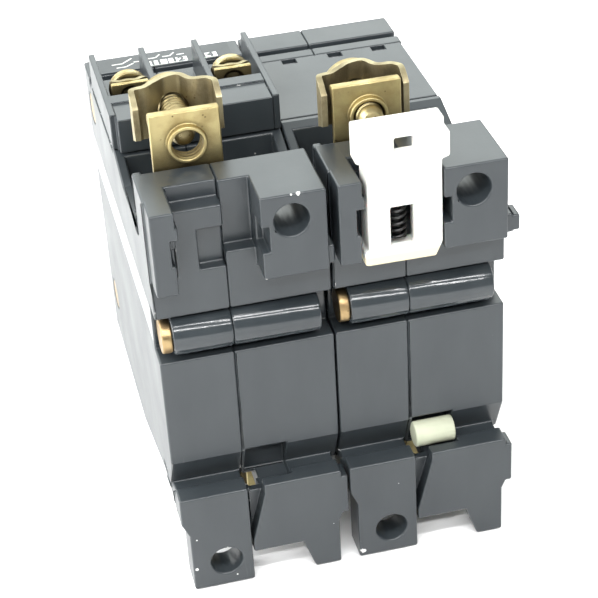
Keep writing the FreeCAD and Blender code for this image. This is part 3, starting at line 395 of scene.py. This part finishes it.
def make_materials():
    """The finish of every material slot that the record names."""
    return {
        "black_thermoset": thermoset("black_thermoset"),
        "black_gloss_plastic": thermoset("black_gloss_plastic", 0.7, 0.04),
        "label_black": thermoset("label_black", 0.9, -0.06),
        "brass_strap": brass("brass_strap", (0.46, 0.385, 0.19), (0.33, 0.26, 0.12), (1.0, 1.0, 12.0)),
        "brass_clamp": brass("brass_clamp", (0.42, 0.37, 0.23), (0.24, 0.20, 0.12), (8.0, 8.0, 1.0), 0.38),
        "brass_screw": brass("brass_screw", (0.48, 0.41, 0.22), (0.32, 0.25, 0.12), (1.0, 6.0, 1.0), 0.26),
        "brass_rivet": brass("brass_rivet", (0.40, 0.29, 0.145), (0.25, 0.165, 0.085), rough=0.26),
        "white_nylon": moulded(
            "white_nylon", (0.68, 0.675, 0.645), (0.64, 0.635, 0.595), 0.38, grimy=0.12, soft=0.08,
            foot=LATCH_FOOT,
        ),
        "cream_rubber": moulded("cream_rubber", (0.43, 0.45, 0.34), (0.36, 0.38, 0.28), 0.55, grimy=0.3),
        "black_spring_steel": metal("black_spring_steel", (0.05, 0.05, 0.05), (0.09, 0.09, 0.09), 0.35),
        "copper": metal("copper", (0.76, 0.42, 0.27), (0.55, 0.28, 0.17)),
        "silver_contact": metal("silver_contact", (0.86, 0.86, 0.84), (0.66, 0.65, 0.62), 0.25),
        "enamelled_copper": metal("enamelled_copper", (0.52, 0.20, 0.10), (0.38, 0.12, 0.06), 0.28, 0.8),
        "grey_plastic": moulded("grey_plastic", (0.33, 0.34, 0.35), (0.27, 0.28, 0.29), 0.42),
        "red_fibre": moulded("red_fibre", (0.42, 0.12, 0.09), (0.32, 0.09, 0.07), 0.6),
        "plated_steel": metal("plated_steel", (0.62, 0.62, 0.59), (0.48, 0.48, 0.45)),
    }


def dress_cad_nodes(materials):
    """Give every CAD node the finish of its slot."""
    for entry in frame["record"]["subparts"]:
        obj = NODES[entry["node"]]
        obj.data.materials.clear()
        obj.data.materials.append(materials[entry["material_slot"]])


# how far each kind of CAD node is rounded, in millimetres
EDGE_RADIUS = {
    "left_shell": 0.30, "right_shell": 0.30, "top_cover": 0.15, "aux_housing": 0.20, "din_latch": 0.30,
    "upper_strap": 0.20, "lower_strap": 0.20, "toggle_handle": 0.5, "handle_tie": 0.5, "rail_bumper": 0.25,
    "body_rivets": 0.2, "aux_terminal_plates": 0.15,
}
WELD_DISTANCE = 0.002
BEVEL_SEGMENTS = 2
BEVEL_ANGLE = math.radians(40)


def add_bevel(obj, radius):
    """A rounding of every sharp edge by a radius in millimetres."""
    bevel = obj.modifiers.new("bevel", "BEVEL")
    bevel.width = radius * MM
    bevel.segments = BEVEL_SEGMENTS
    bevel.limit_method = "ANGLE"
    bevel.angle_limit = BEVEL_ANGLE
    return bevel


def round_edges():
    """Round the sharp edges of the CAD nodes that can be seen."""
    for name, obj in NODES.items():
        radius = next((r for start, r in EDGE_RADIUS.items() if name.startswith(start)), None)
        if radius is None:
            continue
        weld = obj.modifiers.new("weld", "WELD")
        weld.merge_threshold = WELD_DISTANCE * MM
        bevel = add_bevel(obj, radius)
        bevel.use_clamp_overlap = False
        bevel.loop_slide = False
        bevel.harden_normals = True


make_camera()
make_studio()
MATERIALS = make_materials()
dress_cad_nodes(MATERIALS)
round_edges()


# ---------------------------------------------------------------- mesh helpers

MERGE_DISTANCE = 1e-7  # metres
CURVE_STEPS = 6
SHEET_ROWS = 8
TURNED_SIDES = 48
THREAD_STEPS = 36      # steps in one turn of a thread
THREAD_FADE = 12       # steps over which a thread rises and runs out
THREAD_FOOT = 0.45     # half the width of a thread's foot, as a share of its pitch


def centre_of(node):
    low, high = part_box(node)
    return (low + high) / 2


def new_mesh(name, verts, faces, merge=None):
    """A mesh in metres with its faces turned outward; corners closer than merge become one."""
    mesh = bpy.data.meshes.new(name)
    mesh.from_pydata([tuple(v) for v in verts], [], faces)
    work = bmesh.new()
    work.from_mesh(mesh)
    if merge:
        bmesh.ops.remove_doubles(work, verts=work.verts, dist=merge)
    bmesh.ops.recalc_face_normals(work, faces=work.faces)
    work.to_mesh(mesh)
    work.free()
    return mesh


def shade(mesh, angle):
    """Smooth shading between faces that meet at less than the angle in degrees."""
    mesh.shade_smooth()
    mesh.set_sharp_from_angle(angle=math.radians(angle))


def piece(name, verts, faces, slot, body, replaced=(), angle=35.0):
    """A piece that rides on a body, in the finish of a slot, in place of the replaced CAD nodes."""
    mesh = new_mesh(name, verts, faces, MERGE_DISTANCE)
    shade(mesh, angle)
    mesh.materials.append(MATERIALS[slot])
    obj = bpy.data.objects.new(name, mesh)
    bpy.context.scene.collection.objects.link(obj)
    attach(obj, body)
    if replaced:
        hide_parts(*replaced)
    return obj


def carve(target, cutters, angle):
    """Cut plain meshes out of a piece, and keep what is left as its mesh."""
    for verts, faces in cutters:
        mesh = new_mesh("cutter", verts, faces)
        cutter = bpy.data.objects.new("cutter", mesh)
        bpy.context.scene.collection.objects.link(cutter)
        modifier = target.modifiers.new("carve", "BOOLEAN")
        modifier.object = cutter
        modifier.solver = "EXACT"
        evaluated = target.evaluated_get(bpy.context.evaluated_depsgraph_get())
        carved = bpy.data.meshes.new_from_object(evaluated)
        target.modifiers.clear()
        target.data = carved
        bpy.data.objects.remove(cutter)
        bpy.data.meshes.remove(mesh)
    shade(target.data, angle)


def spokes(axis):
    """Two unit vectors square to an axis and to each other."""
    first = axis.orthogonal().normalized()
    return first, axis.cross(first)


def turned(outline, place, axis, sides=TURNED_SIDES):
    """A solid of revolution from (radius, height) pairs in millimetres; a radius of 0 closes it."""
    axis = Vector(axis).normalized()
    first, second = spokes(axis)
    verts, faces, rings = [], [], []
    for radius, height in outline:
        middle = Vector(place) + axis * height * MM
        if radius == 0:
            rings.append([len(verts)])
            verts.append(middle)
            continue
        ring = []
        for step in range(sides):
            angle = 2 * math.pi * step / sides
            ring.append(len(verts))
            verts.append(middle + (first * math.cos(angle) + second * math.sin(angle)) * radius * MM)
        rings.append(ring)
    for near, far in zip(rings, rings[1:]):
        for step in range(sides):
            after = (step + 1) % sides
            if len(near) == 1 and len(far) > 1:
                faces.append((near[0], far[step], far[after]))
            elif len(far) == 1 and len(near) > 1:
                faces.append((near[step], near[after], far[0]))
            elif len(near) > 1:
                faces.append((near[step], near[after], far[after], far[step]))
    return verts, faces


def ring_solid(outline, place, axis):
    """A closed ring: the outline is a loop of (radius, height) pairs that stays off the axis."""
    return turned([*outline, outline[0]], place, axis)


def helix(crest, turns, depth, base, place, axis, start):
    """A thread ridge on the base radius, its top depth away from the crest radius, or less where it fades."""
    axis = Vector(axis).normalized()
    first, second = spokes(axis)
    verts, faces = [], []
    count = int(turns * THREAD_STEPS)
    half_foot = THREAD_FOOT * THREAD_PITCH
    for step in range(count + 1):
        angle = 2 * math.pi * step / THREAD_STEPS
        spoke = first * math.cos(angle) + second * math.sin(angle)
        fade = min(1.0, step / THREAD_FADE, (count - step) / THREAD_FADE)
        height = start + THREAD_PITCH * step / THREAD_STEPS
        for radius, rise in ((base, -half_foot), (crest + depth * fade, 0.0), (base, half_foot)):
            verts.append(Vector(place) + (spoke * radius + axis * (height + rise)) * MM)
    for step in range(count):
        low = 3 * step
        for corner in range(3):
            after = (corner + 1) % 3
            faces.append((low + corner, low + after, low + 3 + after, low + 3 + corner))
    faces.append((0, 1, 2))
    faces.append((3 * count, 3 * count + 2, 3 * count + 1))
    return verts, faces


def smooth_path(points):
    """Catmull-Rom points through the given ones."""
    ends = [points[0], *points, points[-1]]
    result = []
    for index in range(1, len(ends) - 2):
        p0, p1, p2, p3 = (Vector(p) for p in ends[index - 1:index + 3])
        for step in range(CURVE_STEPS):
            t = step / CURVE_STEPS
            result.append(0.5 * (
                2 * p1 + (p2 - p0) * t + (2 * p0 - 5 * p1 + 4 * p2 - p3) * t * t
                + (3 * p1 - p0 - 3 * p2 + p3) * t * t * t
            ))
    result.append(Vector(points[-1]))
    return result


def bent_sheet(path, low, high, thickness):
    """A bent strip: path in plan (x, y) in millimetres, low(t) and high(t) its edges in z along it."""
    count = len(path)
    rows = SHEET_ROWS
    verts, faces = [], []
    for index, point in enumerate(path):
        before = path[max(index - 1, 0)]
        after = path[min(index + 1, count - 1)]
        along = (after - before).normalized()
        across = Vector((-along.y, along.x)) * thickness / 2
        z_low = low(index / (count - 1))
        z_high = high(index / (count - 1))
        for side in (1, -1):
            for row in range(rows + 1):
                z = z_low + (z_high - z_low) * row / rows
                spot = point + across * side
                verts.append(Vector((spot.x, spot.y, z)) * MM)
    stride = 2 * (rows + 1)
    for index in range(count - 1):
        a = index * stride
        b = a + stride
        for row in range(rows):
            faces.append((a + row, a + row + 1, b + row + 1, b + row))
            faces.append((a + rows + 1 + row, b + rows + 1 + row, b + rows + 2 + row, a + rows + 2 + row))
        faces.append((a, b, b + rows + 1, a + rows + 1))
        faces.append((a + rows, a + 2 * rows + 1, b + 2 * rows + 1, b + rows))
    for a in (0, (count - 1) * stride):
        for row in range(rows):
            faces.append((a + row, a + row + 1, a + rows + 2 + row, a + rows + 1 + row))
    return verts, faces


def slab(low, high):
    """The corners and faces of a box between two corners, in metres."""
    xs, ys, zs = zip(low, high)
    verts = [(x, y, z) for x in xs for y in ys for z in zs]
    faces = [(0, 1, 3, 2), (4, 6, 7, 5), (0, 4, 5, 1), (2, 3, 7, 6), (0, 2, 6, 4), (1, 5, 7, 3)]
    return verts, faces


def join(parts):
    """Several meshes as one list of corners and faces."""
    verts, faces = [], []
    for more_verts, more_faces in parts:
        shift = len(verts)
        verts.extend(more_verts)
        faces.extend(tuple(v + shift for v in face) for face in more_faces)
    return verts, faces


# ---------------------------------------------------------------- terminals

ALONG_Y = (0, 1, 0)
DRILL_REACH = 9.0      # how far a drill runs to each side of its place

CLAMP_PATH = (
    (-5.75, 0.2), (-5.75, 1.6), (-5.7, 2.9), (-4.9, 3.6), (-3.7, 3.7), (-2.4, 4.7), (-1.2, 5.9), (0.2, 6.05),
    (1.5, 5.8), (2.6, 4.4), (3.7, 3.7), (4.9, 3.6), (5.7, 2.9), (5.75, 1.6), (5.75, 0.2),
)
CLAMP_THICKNESS = 0.80
CLAMP_EAR = 0.16       # the share of the strip's length that each slanted ear takes
CLAMP_HOLE_RADIUS = 2.35
CLAMP_HOLE_SIDES = 40
CLAMP_EDGE = 0.09

SCREW_CORE_RADIUS = 1.80
SCREW_SLOT_HALF = 0.55
SCREW_SLOT_DEPTH = 1.25
SCREW_SLOT_REACH = 6.0
SCREW_CROSS_REACH = 2.6    # half the length of the short slot that crosses the long one
SCREW_THREAD = {"depth": 0.17, "base": 1.70, "start": 2.9}
SCREW_PLAIN_LENGTH = 4.6   # the head and the tip, where there is no thread

COLLAR_RADIUS = 2.15
COLLAR_THREAD = {"turns": 2.8, "depth": -0.13, "base": 2.22, "start": 0.3}


def drill(place, radius, sides):
    """A round cutter along Y."""
    ends = [(0, -DRILL_REACH), (radius, -DRILL_REACH), (radius, DRILL_REACH), (0, DRILL_REACH)]
    return turned(ends, place, ALONG_Y, sides)


def clamp_plate(level, pole):
    """The saddle-shaped clamp of a terminal, with slanted ears and a hole for its screw."""
    node = f"{level}_clamp_{pole}"
    low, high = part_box(node)
    height = (high.z - low.z) / MM
    flip = 1 if level == "upper" else -1

    def ear(t):
        return max(0.0, 1 - min(t, 1 - t) / CLAMP_EAR)

    def rim(t):
        return height - 0.12 - 1.6 * ear(t) ** 1.5 + 0.10 * math.sin(31 * t + 4)

    def foot(t):
        return 0.10 + 1.4 * ear(t) + 0.05 * math.sin(23 * t)

    place = Vector(((low.x + high.x) / 2, low.y, low.z if flip == 1 else high.z))
    verts, faces = bent_sheet(smooth_path(CLAMP_PATH), foot, rim, CLAMP_THICKNESS)
    verts = [place + Vector((v.x, v.y, flip * v.z)) for v in verts]
    obj = piece(f"saddle_{level}_{pole}", verts, faces, "brass_clamp", node, (node,), 30)
    screw = centre_of(f"{level}_screw_{pole}")
    carve(obj, [drill(screw, CLAMP_HOLE_RADIUS, CLAMP_HOLE_SIDES)], 30)
    add_bevel(obj, CLAMP_EDGE)


def terminal_screw(level, pole):
    """A cheese-head screw with crossed slots, a threaded shank and a domed tip."""
    node = f"{level}_screw_{pole}"
    low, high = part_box(node)
    middle = (low + high) / 2
    place = Vector((middle.x, high.y, middle.z))
    length = (high.y - low.y) / MM
    outline = [
        (0, -0.15), (2.6, -0.18), (3.6, -0.32), (4.1, -0.62), (4.25, -1.05), (4.25, -2.3), (4.1, -2.45),
        (1.98, -2.5), (SCREW_CORE_RADIUS, -2.8), (SCREW_CORE_RADIUS, -length + 1.4), (1.62, -length + 0.8),
        (1.3, -length + 0.3), (0.7, -length + 0.06), (0, -length),
    ]
    verts, faces = turned(outline, place, ALONG_Y)
    obj = piece(f"screw_{level}_{pole}", verts, faces, "brass_screw", node, (node,), 25)
    top = place + Vector((0, 1, 0)) * MM
    bottom = place - Vector((0, SCREW_SLOT_DEPTH, 0)) * MM
    slots = []
    for across, along in ((SCREW_SLOT_REACH, SCREW_SLOT_HALF), (SCREW_SLOT_HALF, SCREW_CROSS_REACH)):
        reach = Vector((across, 0.0, along)) * MM
        slots.append(slab(bottom - reach, top + reach))
    carve(obj, slots, 25)
    turns = (length - SCREW_PLAIN_LENGTH) / THREAD_PITCH
    ridge = helix(SCREW_CORE_RADIUS, turns, place=place, axis=(0, -1, 0), **SCREW_THREAD)
    piece(f"screw_thread_{level}_{pole}", *ridge, "brass_screw", node, angle=20)


def collar_thread(level, pole):
    """The thread inside a strap's collar."""
    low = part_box(f"{level}_strap_{pole}")[0]
    screw = centre_of(f"{level}_screw_{pole}")
    ridge = helix(COLLAR_RADIUS, place=(screw.x, low.y, screw.z), axis=ALONG_Y, **COLLAR_THREAD)
    piece(f"collar_thread_{level}_{pole}", *ridge, "brass_strap", "case", angle=20)


for level in LEVELS:
    for pole in POLES:
        clamp_plate(level, pole)
        terminal_screw(level, pole)
        collar_thread(level, pole)


AUX_HEAD_OUTLINE = (
    (0, 0.0), (1.3, -0.04), (2.1, -0.22), (2.65, -0.55), (2.9, -0.95), (2.95, -1.25),
    (2.78, -1.42), (2.62, -1.5), (2.78, -1.6), (2.95, -1.75), (2.95, -2.15), (2.8, -2.35),
    (1.2, -2.4), (1.2, -3.9), (0, -4.0),
)
AUX_HEAD_INSET = 3.0   # from the outer end of both screws' box to the middle of a head
AUX_SLOT = (0.35, 1.0, 5.0)
AUX_SADDLE_PATH = ((-2.65, 0.75), (-1.9, 0.15), (-0.8, -0.28), (0.8, -0.28), (1.9, 0.15), (2.65, 0.75))
AUX_SADDLE_THICKNESS = 0.62
AUX_HOLE_RADIUS = 1.35
AUX_HOLE_SIDES = 32


def aux_terminal(side, x):
    """The pan head and the hollowed saddle washer of one auxiliary terminal."""
    low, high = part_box("aux_screws")
    z = (low.z + high.z) / 2
    place = Vector((x, high.y, z))
    verts, faces = turned(AUX_HEAD_OUTLINE, place, ALONG_Y)
    replaced = ("aux_screws",) if side == "left" else ()
    head = piece(f"aux_head_{side}", verts, faces, "brass_screw", "case", replaced, 25)
    reach = Vector(AUX_SLOT) * MM
    carve(head, [slab(place - reach, place + reach)], 25)
    low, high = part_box("aux_washers")

    def rim(t):
        return (high.z - low.z) / MM - 0.10 - 0.35 * abs(2 * t - 1) ** 2 + 0.06 * math.sin(17 * t)

    verts, faces = bent_sheet(smooth_path(AUX_SADDLE_PATH), lambda t: 0.1, rim, AUX_SADDLE_THICKNESS)
    verts = [Vector((x, (low.y + high.y) / 2, low.z)) + v for v in verts]
    replaced = ("aux_washers",) if side == "left" else ()
    saddle = piece(f"aux_saddle_{side}", verts, faces, "brass_clamp", "case", replaced, 30)
    carve(saddle, [drill((x, low.y, z), AUX_HOLE_RADIUS, AUX_HOLE_SIDES)], 30)


aux_low, aux_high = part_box("aux_screws")
aux_terminal("left", aux_low.x + AUX_HEAD_INSET * MM)
aux_terminal("right", aux_high.x - AUX_HEAD_INSET * MM)


# ---------------------------------------------------------------- printed marks

def bar(start, end, width, low, high):
    """A flat stroke between two points in plan, from low to high, in metres."""
    along = (Vector(end) - Vector(start)).normalized()
    across = Vector((-along.y, along.x)) * width / 2
    flat = [Vector(start) - across, Vector(start) + across, Vector(end) + across, Vector(end) - across]
    verts = [Vector((p.x, p.y, level)) for level in (low, high) for p in flat]
    faces = [(0, 1, 2, 3), (7, 6, 5, 4), (0, 4, 5, 1), (1, 5, 6, 2), (2, 6, 7, 3), (3, 7, 4, 0)]
    return verts, faces


# the label's contact symbols as strokes between two points from its corner
LABEL_STROKES = (
    ((3.5, 2.6), (5.2, 2.6)), ((5.2, 2.6), (6.9, 4.1)), ((7.0, 2.6), (8.6, 2.6)),
    ((4.1, 1.3), (5.6, 1.3)), ((5.6, 1.3), (6.9, 2.2)), ((9.4, 3.0), (10.6, 3.0)),
    ((10.6, 3.0), (11.4, 4.0)), ((11.7, 3.0), (12.9, 3.0)), ((12.9, 3.0), (13.7, 4.0)),
    ((14.0, 3.0), (15.2, 3.0)),
)
# its white boxes: left end, right end and terminal number
LABEL_BOXES = ((8.6, 12.2, "11"), (12.4, 15.4, "12"), (17.0, 20.2, "14"))
LABEL_STROKE_WIDTH = 0.26
BOX_MIDDLE, BOX_HEIGHT = 1.15, 1.7
INK_UNDER, INK_OVER = 0.02, 0.03       # how far the label's ink starts under its face and stands over it
NUMBER_SIZE = 2.05
NUMBER_BOLDNESS = 0.09
NUMBER_LIFT, NUMBER_THICKNESS = 0.04, 0.015


def label_marks():
    """Printed contact symbols and terminal numbers on the label of the auxiliary switch."""
    low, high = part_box("contact_label")
    top = high.z

    def spot(x, y):
        return (low.x + x * MM, low.y + y * MM)

    def ink(start, end, width):
        return bar(spot(*start), spot(*end), width * MM, top - INK_UNDER * MM, top + INK_OVER * MM)

    marks = [ink(start, end, LABEL_STROKE_WIDTH) for start, end in LABEL_STROKES]
    marks += [ink((left, BOX_MIDDLE), (right, BOX_MIDDLE), BOX_HEIGHT) for left, right, _ in LABEL_BOXES]
    piece("label_marks", *join(marks), "white_nylon", "case")
    for left, right, words in LABEL_BOXES:
        text = bpy.data.curves.new(f"number_{words}", "FONT")
        text.body = words
        text.size = NUMBER_SIZE * MM
        text.align_x = "CENTER"
        text.align_y = "CENTER"
        text.extrude = NUMBER_THICKNESS * MM
        text.offset = NUMBER_BOLDNESS * MM
        text.materials.append(MATERIALS["label_black"])
        obj = bpy.data.objects.new(f"number_{words}", text)
        obj.location = (*spot((left + right) / 2, BOX_MIDDLE), top + NUMBER_LIFT * MM)
        bpy.context.scene.collection.objects.link(obj)
        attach(obj, "case")


ON_MARK_LOW, ON_MARK_HIGH = 13.0, 16.2
ON_MARK_WIDTH = 0.5
OFF_MARK_Z = -14.6
OFF_MARK_INNER, OFF_MARK_OUTER = 1.1, 1.6
PRINT_UNDER, PRINT_OVER = 0.005, 0.015


def front_marks():
    """The printed on and off marks over and under each toggle."""
    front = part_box("left_shell_a")[1].y
    for pole in POLES:
        x = centre_of(f"toggle_handle_{pole}").x
        ends = (x, ON_MARK_LOW * MM), (x, ON_MARK_HIGH * MM)
        stroke, faces = bar(*ends, ON_MARK_WIDTH * MM, -PRINT_UNDER * MM, PRINT_OVER * MM)
        stroke = [Vector((v.x, front + v.z, v.y)) for v in stroke]
        ring = [(OFF_MARK_INNER, PRINT_OVER), (OFF_MARK_INNER, -PRINT_UNDER),
                (OFF_MARK_OUTER, -PRINT_UNDER), (OFF_MARK_OUTER, PRINT_OVER)]
        circle = ring_solid(ring, (x, front, OFF_MARK_Z * MM), ALONG_Y)
        piece(f"front_marks_{pole}", *join([(stroke, faces), circle]), "white_nylon", "case")


label_marks()
front_marks()
